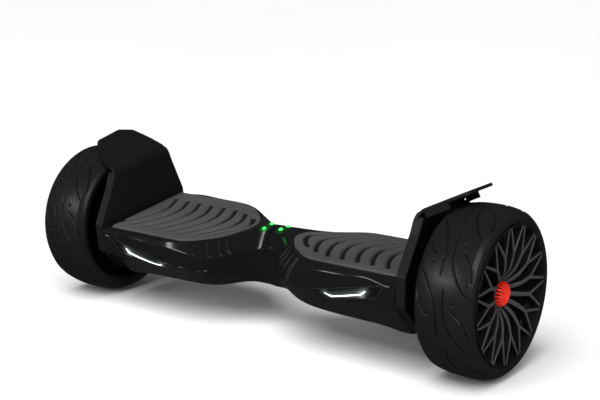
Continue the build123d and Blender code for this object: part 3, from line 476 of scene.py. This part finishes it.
def spoke_bar(line, turn, widths, mirror=1):
    """One bar of the trim along a line of (radius, degrees), bevelled along its face."""
    corners = []
    for reach, degrees in line:
        angle = math.radians((degrees - FORK_MIDDLE) * mirror + FORK_MIDDLE + turn)
        corners.append((reach * math.cos(angle), reach * math.sin(angle)))
    y, z = smooth_line(corners, 22).T
    radius = np.hypot(y, z)
    run = np.column_stack([np.gradient(y), np.gradient(z)])
    run /= np.linalg.norm(run, axis=1)[:, None]
    side_y, side_z = -run[:, 1], run[:, 0]
    width = np.interp(np.linspace(0, 1, len(y)), np.linspace(0, 1, len(widths)), widths) / 2
    top = bowl_height(radius)
    foot = np.maximum(top - 9.0, TRIM_BACK - 0.3)
    rows = []
    for reach, drop in SPOKE_SECTION:
        level = foot if drop is None else top - drop
        out_y, out_z = y + side_y * width * reach, z + side_z * width * reach
        rows.append(np.column_stack([WHEEL_X + level, out_y, AXLE_Z + out_z]))
    points = np.stack(rows, 1).reshape(-1, 3)
    faces = grid_faces(len(y), len(rows), False, True)
    last = (len(y) - 1) * len(rows)
    faces.append(tuple(range(len(rows))))
    faces.append(tuple(last + k for k in reversed(range(len(rows)))))
    return points, faces


def turned(profile, turns):
    """Points and faces of a closed profile of (offset, radius) turned about the axle."""
    angle = np.linspace(0, TAU, turns, endpoint=False)
    p = np.array(profile, float)
    points = wheel_points(
        np.repeat(p[None, :, 0], turns, 0), np.repeat(p[None, :, 1], turns, 0), angle[:, None]
    ).reshape(-1, 3)
    return points, grid_faces(turns, len(p), True, True)


def build_trim(side):
    bars = []
    for k in range(SPOKES):
        turn = k * 360.0 / SPOKES
        bars.append(spoke_bar(SPOKE_ARM, turn, ARM_WIDTHS))
        bars.append(spoke_bar(SPOKE_FORK, turn, FORK_WIDTHS))
        bars.append(spoke_bar(SPOKE_FORK, turn, FORK_WIDTHS, -1))
    ring = turned(((20.0, 13.0), (24.0, 15.8), (25.2, 16.4), (25.0, 17.6), (23.4, 18.6), (20.3, 19.0)), 120)
    lip = turned(((39.2, 86.4), (39.7, 86.8), (39.8, 87.5), (39.3, 88.0), (38.6, 88.0), (38.6, 86.4)), 180)
    obj = make(f"{side}_trim_spokes", *joined([*bars, ring]), side, trim_grey, 40)
    # Faces that don't look out along the axle, the spokes' sides and steep bevels, take the black plastic:
    # partly a two-tone trim, partly painted shade on the side walls.
    axis = Vector((1 if side == "right" else -1, 0, 0))
    paint(obj, trim_black, lambda face: face.normal.dot(axis) < 0.55)
    attach(obj, f"{side}_wheel", "trim_plastic", f"{side}_wheel_trim")
    dish = turned(
        (
            (20.1, 2.0), (TRIM_BACK, 2.0), (TRIM_BACK, 40.0), (TRIM_BACK + 0.4, 70.0), (23.0, 78.0),
            (28.5, 82.2), (38.8, 84.6), (38.8, 86.4), (39.1, 86.4), (39.1, 84.2), (28.3, 81.6), (20.1, 80.0),
        ),
        180,
    )
    dish_obj = make(f"{side}_trim_dish", *joined([dish, lip]), side, trim_black, 35)
    attach(dish_obj, f"{side}_wheel", "trim_plastic")


CAP_SLOTS, CAP_FINE = 20, 12  # slots round the cap, and steps from one to the next
SLOT_CUT = 2.6


def build_hub_cap(side):
    turns = CAP_SLOTS * CAP_FINE
    profile = np.array(
        [(20.8, 15.2), (23.4, 15.8), (25.6, 15.7), (28.2, 14.9), (29.9, 13.9), (30.9, 12.9), (31.3, 11.7),
         (31.0, 10.5), (29.6, 9.8), (28.2, 9.3), (27.6, 8.2), (27.6, 5.0), (27.9, 1.2), (20.8, 1.2)]
    )
    angle = np.linspace(0, TAU, turns, endpoint=False)
    phase = (np.arange(turns) % CAP_FINE) / CAP_FINE
    slot = smoothstep((0.2 - np.abs(phase - 0.5)) / 0.1 + 0.5)[:, None]
    cut = np.interp(profile[:, 0], (22.4, 23.4, 30.2, 31.1), (0.0, 1.0, 1.0, 0.0)) * (profile[:, 1] > 12.0)
    radius = profile[None, :, 1] - SLOT_CUT * slot * cut[None, :]
    along = np.repeat(profile[None, :, 0], turns, 0)
    points = wheel_points(along, radius, angle[:, None]).reshape(-1, 3)
    obj = make(f"{side}_hub_button", points, grid_faces(turns, len(profile), True, True), side, hub_red, 40)
    # The deepest faces of the slots take the black trim plastic as painted shade in the slots.
    deep = {int(k) for k in np.flatnonzero((slot * cut[None, :] > 0.6).ravel())}
    paint(obj, trim_black, lambda face: deep.issuperset(face.vertices))
    attach(obj, f"{side}_wheel", "red_cap", f"{side}_hub_cap")


# ---------------------------------------------------------------- foot pads

PAD_HALF = ((38.0, 0.0), (38.6, 9.0), (41.5, 17.5), (50.0, 30.0), (60.0, 42.5), (71.0, 52.0), (82.0, 61.0),
            (92.0, 68.5), (101.0, 73.2), (112.0, 75.8), (125.0, 76.0), (236.0, 76.0), (238.0, 75.0))
PAD_BOTTOM = 127.0
PAD_START, PAD_END = 38.05, 237.9
PAD_COLUMNS, PAD_ROWS = 210, 170
# Grooves in the pad: nested bows round its inner end, one every step along it
GROOVE_BOW = ((1.1, -1.0), (0.55, -0.62), (0.12, -0.2), (0.0, 0.12), (0.1, 0.4), (0.6, 0.9))
GROOVE_START, GROOVE_STEP, GROOVE_COUNT = 50.0, 23.0, 8
GROOVE_REACH, GROOVE_WIDTH, GROOVE_DEPTH = 24.0, 7.2, 2.4
DECK_RISE = ((38.0, 136.3), (48.0, 134.4), (62.0, 132.9), (78.0, 132.1), (92.0, 132.0))


def pad_half(x):
    """Half depth of the pad at x."""
    line = np.array(PAD_HALF)
    return np.interp(x, line[:, 0], line[:, 1])


def build_pad(side):
    columns, rows, start, end = PAD_COLUMNS, PAD_ROWS, PAD_START, PAD_END
    share = np.linspace(0, 1, columns)
    x = start + (end - start) * (0.72 * share + 0.28 * share**2)
    v = np.linspace(-1, 1, rows)
    xs, vs = np.meshgrid(x, v)
    ys = vs * pad_half(xs)
    depth = np.zeros(xs.shape)
    for k in range(GROOVE_COUNT):
        apex = GROOVE_START + GROOVE_STEP * k
        span = 0.74 * pad_half(apex + 0.6 * GROOVE_REACH)
        bow = smooth_line([(apex + a * GROOVE_REACH, b * span) for a, b in GROOVE_BOW], 60)
        far, _ = line_distance(xs, ys, bow)
        depth = np.maximum(depth, GROOVE_DEPTH * smoothstep((GROOVE_WIDTH / 2 - far) / 1.2 + 0.5))
    edge = np.minimum(np.minimum((xs - start), end - xs), (pad_half(xs) - np.abs(ys)))
    lip = 1.5 * (1 - np.sqrt(np.clip(1 - (1 - np.clip(edge / 1.8, 0, 1)) ** 2, 0, 1)))
    rise = smooth_line(DECK_RISE, 60)
    top = np.interp(xs, rise[:, 0], rise[:, 1]) - depth - lip
    upper = np.stack([xs, ys, top], -1).reshape(-1, 3)
    lower = np.stack([xs, ys, np.full(xs.shape, PAD_BOTTOM)], -1).reshape(-1, 3)
    count = rows * columns
    faces = grid_faces(rows, columns)
    faces = faces + [tuple(k + count for k in reversed(f)) for f in faces]
    border = list(range(columns)) + [i * columns + columns - 1 for i in range(1, rows)]
    border += [(rows - 1) * columns + j for j in range(columns - 2, -1, -1)]
    border += [i * columns for i in range(rows - 2, 0, -1)]
    for a, b in zip(border, border[1:] + border[:1]):
        faces.append((a, b, b + count, a + count))
    obj = make(f"{side}_pad_top", np.vstack([upper, lower]), faces, side, pad_rubber, 50)
    # Faces deep in the grooves take the near-black rubber as painted shade.
    cut = {int(k) for k in np.flatnonzero(depth.ravel() > 0.55 * GROOVE_DEPTH)}
    paint(obj, pad_groove_shade, lambda face: cut.issuperset(face.vertices))
    attach(obj, f"{side}_pedal", "pad_rubber", f"{side}_foot_pad")


# ---------------------------------------------------------------- casing details and lights

CASING_NODES = ("right_upper_shell", "right_lower_shell", "right_headlight_lens", "right_light_bar",
                "right_status_lens", "right_status_lights")


def casing_surface():
    """The right half's skin in mm, to lay pieces on."""
    points, faces = [], []
    for node_name in CASING_NODES:
        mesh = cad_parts[node_name].data
        base = len(points)
        points += [v.co / MM for v in mesh.vertices]
        faces += [[k + base for k in face.vertices] for face in mesh.polygons]
    return BVHTree.FromPolygons(points, faces)


CASING = casing_surface()
FRONT, BACK = -1, 1


def on_wall(x, z, face):
    """Point and outward normal of the casing's front or back wall at (x, z)."""
    at, normal, _, _ = CASING.ray_cast(Vector((x, face * 200.0, z)), Vector((0, -face, 0)))
    if at is None:
        at, normal, _, _ = CASING.find_nearest(Vector((x, face * 80.0, z)))
    if normal.y * face < 0:
        normal = -normal
    return np.array(at), np.array(normal)


# Across a raised strip: share of its half width, and share of its height; None is its foot
STRIP_SECTION = ((-1.0, None), (-0.94, 0.1), (-0.55, 1.0), (0.55, 1.0), (0.94, 0.1), (1.0, None))


def wall_strip(line, widths, height, face, foot=0.6, closed=False):
    """A strip raised on the casing's wall along a line of (x, z)."""
    p = np.array(line, float)
    run = np.gradient(p, axis=0)
    if closed:
        run = (np.roll(p, -1, 0) - np.roll(p, 1, 0)) / 2
    run /= np.linalg.norm(run, axis=1)[:, None]
    half = np.interp(np.linspace(0, 1, len(p)), np.linspace(0, 1, len(widths)), widths) / 2
    points = []
    for (x, z), (rx, rz), reach in zip(p, run, half):
        _, normal = on_wall(x, z, face)
        for share, lift in STRIP_SECTION:
            at, _ = on_wall(x - rz * reach * share, z + rx * reach * share, face)
            points.append(at + normal * (-foot if lift is None else height * lift))
    count = len(STRIP_SECTION)
    faces = grid_faces(len(p), count, closed, True)
    if not closed:
        last = (len(p) - 1) * count
        faces += [tuple(range(count)), tuple(last + k for k in reversed(range(count)))]
    return np.array(points), faces


# Ribs on the slope between waist and foot rest: top and bottom in (x, z), and width
RIBS = (
    ((53, 130.5), (41.5, 112), 2.0),
    ((61, 129.5), (47.5, 105), 2.0),
    ((73, 128), (57, 97.5), 2.6),
    ((86, 127), (71, 93.5), 8.0),
)
# The right half's ribs stand higher and take the lighter copy of the shell plastic as painted sheen; the left
# half's stay low in the plain gloss shell.
RIB_LOOK = {"right": (0.9, rib_painted_sheen), "left": (0.25, gloss_shell)}
SEAM_LINE = ((2, 115.3), (36, 103.8), (66, 92.8), (71, 91.3), (77, 90.4), (84, 90.6), (92, 91.9), (124, 98.6),
             (180, 110.5), (243, 124.2))
BUTTON_GAP = (182.0, 198.0)  # the rear seam's bead stops short of the power button
LENS_OUTLINE = ((106, 92), (228, 119), (217, 101), (126, 82))
LIGHT_LINE = ((139.2, 93.2), (147, 89.4), (196, 102.2), (201.6, 107.6))
LIGHT_WIDTHS = (0.8, 1.9, 1.7, 1.5, 1.5, 1.5, 1.7, 1.9, 0.9)
STATUS_LIGHTS = ((12.5, -9.5), (12.5, 7.5))
DOME_R, DOME_RISE, DOME_SUNK = 2.9, 2.5, 0.4


def along_corners(corners, step, cut=0.0, closed=False):
    """Points about every step mm along straight runs, with each corner cut back a little."""
    p = [np.array(c, float) for c in corners]
    stops = []
    for k, at in enumerate(p):
        if not closed and k in (0, len(p) - 1):
            stops.append(at)
            continue
        for other in (p[k - 1], p[(k + 1) % len(p)]):
            stops.append(at + (other - at) / np.linalg.norm(other - at) * cut)
    if closed:
        stops.append(stops[0])
    line = [stops[0]]
    for a, b in zip(stops, stops[1:]):
        count = max(1, round(np.linalg.norm(b - a) / step))
        line += [a + (b - a) * k / count for k in range(1, count + 1)]
    return line[:-1] if closed else line


def build_casing_details(side):
    height, rib_material = RIB_LOOK[side]
    strips = []
    for face in (FRONT, BACK):
        for top, bottom, width in RIBS:
            line = along_corners((top, bottom), 1.5)
            strips.append(wall_strip(line, (0.5 * width, width, width, 0.8 * width), height, face))
    obj = make(f"{side}_casing_ribs", *joined(strips), side, rib_material, 30)
    attach(obj, f"{side}_half", "gloss_shell")
    line = smooth_line(SEAM_LINE, 150)
    runs = ((FRONT, line), (BACK, line[line[:, 0] < BUTTON_GAP[0]]), (BACK, line[line[:, 0] > BUTTON_GAP[1]]))
    seams = [wall_strip(run, (1.3,), 0.45, face) for face, run in runs]
    obj = make(f"{side}_seam_beads", *joined(seams), side, gloss_shell, 30)
    attach(obj, f"{side}_half", "gloss_shell")
    rim = wall_strip(along_corners(LENS_OUTLINE, 2.0, 3.0, True), (1.5,), 0.35, FRONT, closed=True)
    obj = make(f"{side}_lens_bezel", *rim, side, bezel_black, 30)
    attach(obj, f"{side}_half", "smoked_lens")


def build_headlight(side):
    line = along_corners(LIGHT_LINE, 1.2, 2.0)
    bar = wall_strip(line, LIGHT_WIDTHS, 0.5, FRONT, foot=4.0)
    obj = make(f"{side}_light_guide", *bar, side, white_light, 40)
    attach(obj, f"{side}_half", "white_light", f"{side}_light_bar")
    spots = []
    for x, z in smooth_line(LIGHT_LINE, 9):
        at, _ = on_wall(x, z + 1.0, FRONT)
        spots.append((at, 13.0, 0.13))
    for (x, z), strength in ((LIGHT_LINE[1], 0.9), (LIGHT_LINE[2], 0.5)):
        at, _ = on_wall(x, z, FRONT)
        spots.append((at, 11.0, strength))
    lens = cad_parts[f"{side}_headlight_lens"]
    lens.data.materials.clear()
    lens.data.materials.append(lens_material(f"{side}_lit_lens", (0.86, 1.0, 0.92), spots, side))


def build_status_lights(side):
    domes, spots = [], []
    rings, turns = 7, 28
    for x, y in STATUS_LIGHTS:
        at, normal, _, _ = CASING.ray_cast(Vector((x, y, 200.0)), Vector((0, 0, -1)))
        across = normal.orthogonal().normalized()
        other = normal.cross(across)
        points = []
        for k in range(rings):
            rise = k / (rings - 1) * math.pi / 2
            for turn in np.linspace(0, TAU, turns, endpoint=False):
                out = across * math.cos(turn) + other * math.sin(turn)
                height = DOME_RISE * math.sin(rise) - DOME_SUNK
                points.append(at + out * DOME_R * math.cos(rise * 0.985) + normal * height)
        faces = grid_faces(rings, turns, False, True)
        faces += [tuple(reversed(range(turns))), tuple(range((rings - 1) * turns, rings * turns))]
        domes.append((np.array(points), faces))
        spots.append((np.array(at), 13.0, 0.34))
    obj = make(f"{side}_status_domes", *joined(domes), side, green_light, 60)
    attach(obj, f"{side}_half", "green_light", f"{side}_status_lights")
    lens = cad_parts[f"{side}_status_lens"]
    lens.data.materials.clear()
    lens.data.materials.append(lens_material(f"{side}_lit_window", (0.02, 1.0, 0.1), spots, side))


for half_side in SIDES:
    build_casing_details(half_side)
    build_headlight(half_side)
    build_status_lights(half_side)
    build_tyre(half_side)
    build_trim(half_side)
    build_hub_cap(half_side)
    build_pad(half_side)


# ---------------------------------------------------------------- floor, light and camera


def build_stage():
    """A plain pale floor, kept out of reflections."""
    reach, count = 14.0, 24
    across = np.linspace(-reach, reach, count)
    xs, ys = np.meshgrid(across, across)
    points = np.stack([xs, ys, np.zeros(xs.shape)], -1).reshape(-1, 3)
    mesh = bpy.data.meshes.new("floor")
    mesh.from_pydata([tuple(p) for p in points], [], grid_faces(count, count))
    n = Nodes("floor_paint")
    n.set(
        Base_Color=n.ramp(n.noise(0.8), (0.86, 0.86, 0.86), (0.88, 0.88, 0.88)),
        Roughness=0.9,
    )
    mesh.materials.append(n.material)
    obj = bpy.data.objects.new("floor", mesh)
    bpy.context.scene.collection.objects.link(obj)
    obj.visible_glossy = False


def area_light(name, at, towards, size, power, size_y):
    """A soft box."""
    data = bpy.data.lights.new(name, "AREA")
    data.energy = power
    data.shape = "RECTANGLE"
    data.size, data.size_y = size, size_y
    obj = bpy.data.objects.new(name, data)
    obj.location = at
    obj.rotation_euler = (Vector(towards) - Vector(at)).to_track_quat("-Z", "Y").to_euler()
    bpy.context.scene.collection.objects.link(obj)


def build_world():
    """Even white light and a white distance, with dark surroundings in what gloss reflects."""
    world = bpy.data.worlds.new("studio")
    world.use_nodes = True
    tree = world.node_tree
    tree.nodes.clear()
    path = tree.nodes.new("ShaderNodeLightPath")
    seen = None
    for level, ray in (
        (WORLD_LIGHT, None), (WORLD_REFLECTED, "Is Glossy Ray"), (WORLD_SEEN, "Is Camera Ray"),
    ):
        node = tree.nodes.new("ShaderNodeBackground")
        node.inputs["Color"].default_value = (1, 1, 1, 1)
        node.inputs["Strength"].default_value = level
        if ray is None:
            seen = node.outputs["Background"]
            continue
        mix = tree.nodes.new("ShaderNodeMixShader")
        tree.links.new(path.outputs[ray], mix.inputs[0])
        tree.links.new(seen, mix.inputs[1])
        tree.links.new(node.outputs["Background"], mix.inputs[2])
        seen = mix.outputs["Shader"]
    out = tree.nodes.new("ShaderNodeOutputWorld")
    tree.links.new(seen, out.inputs["Surface"])
    bpy.context.scene.world = world


WORLD_LIGHT, WORLD_REFLECTED, WORLD_SEEN = 0.23, 0.03, 1.0
build_stage()
build_world()
sun_data = bpy.data.lights.new("overhead", "SUN")
sun_data.energy = 3.5
sun_data.angle = math.radians(50)
sun = bpy.data.objects.new("overhead", sun_data)
sun.rotation_euler = (math.radians(30), math.radians(4), 0)
sun.visible_glossy = False
bpy.context.scene.collection.objects.link(sun)
area_light("side_box", (2.2, -1.1, 1.5), (0.35, 0, 0.12), 0.5, 17, 1.4)
area_light("front_box", (-1.2, -3.0, 1.5), (0, 0, 0.1), 1.8, 22, 0.6)

camera_data = bpy.data.cameras.new("camera")
camera_data.sensor_width = 36.0
camera_data.lens = 76.8
camera_data.clip_end = 100.0
camera = bpy.data.objects.new("camera", camera_data)
camera.location = (1.0258, -1.3423, 0.5788)
CAMERA_DIP, CAMERA_TURN = 13.38, 36.36
camera.rotation_euler = (math.radians(90 - CAMERA_DIP), 0, math.radians(CAMERA_TURN))
bpy.context.scene.collection.objects.link(camera)
bpy.context.scene.camera = camera
bpy.context.scene.view_settings.view_transform = "Standard"
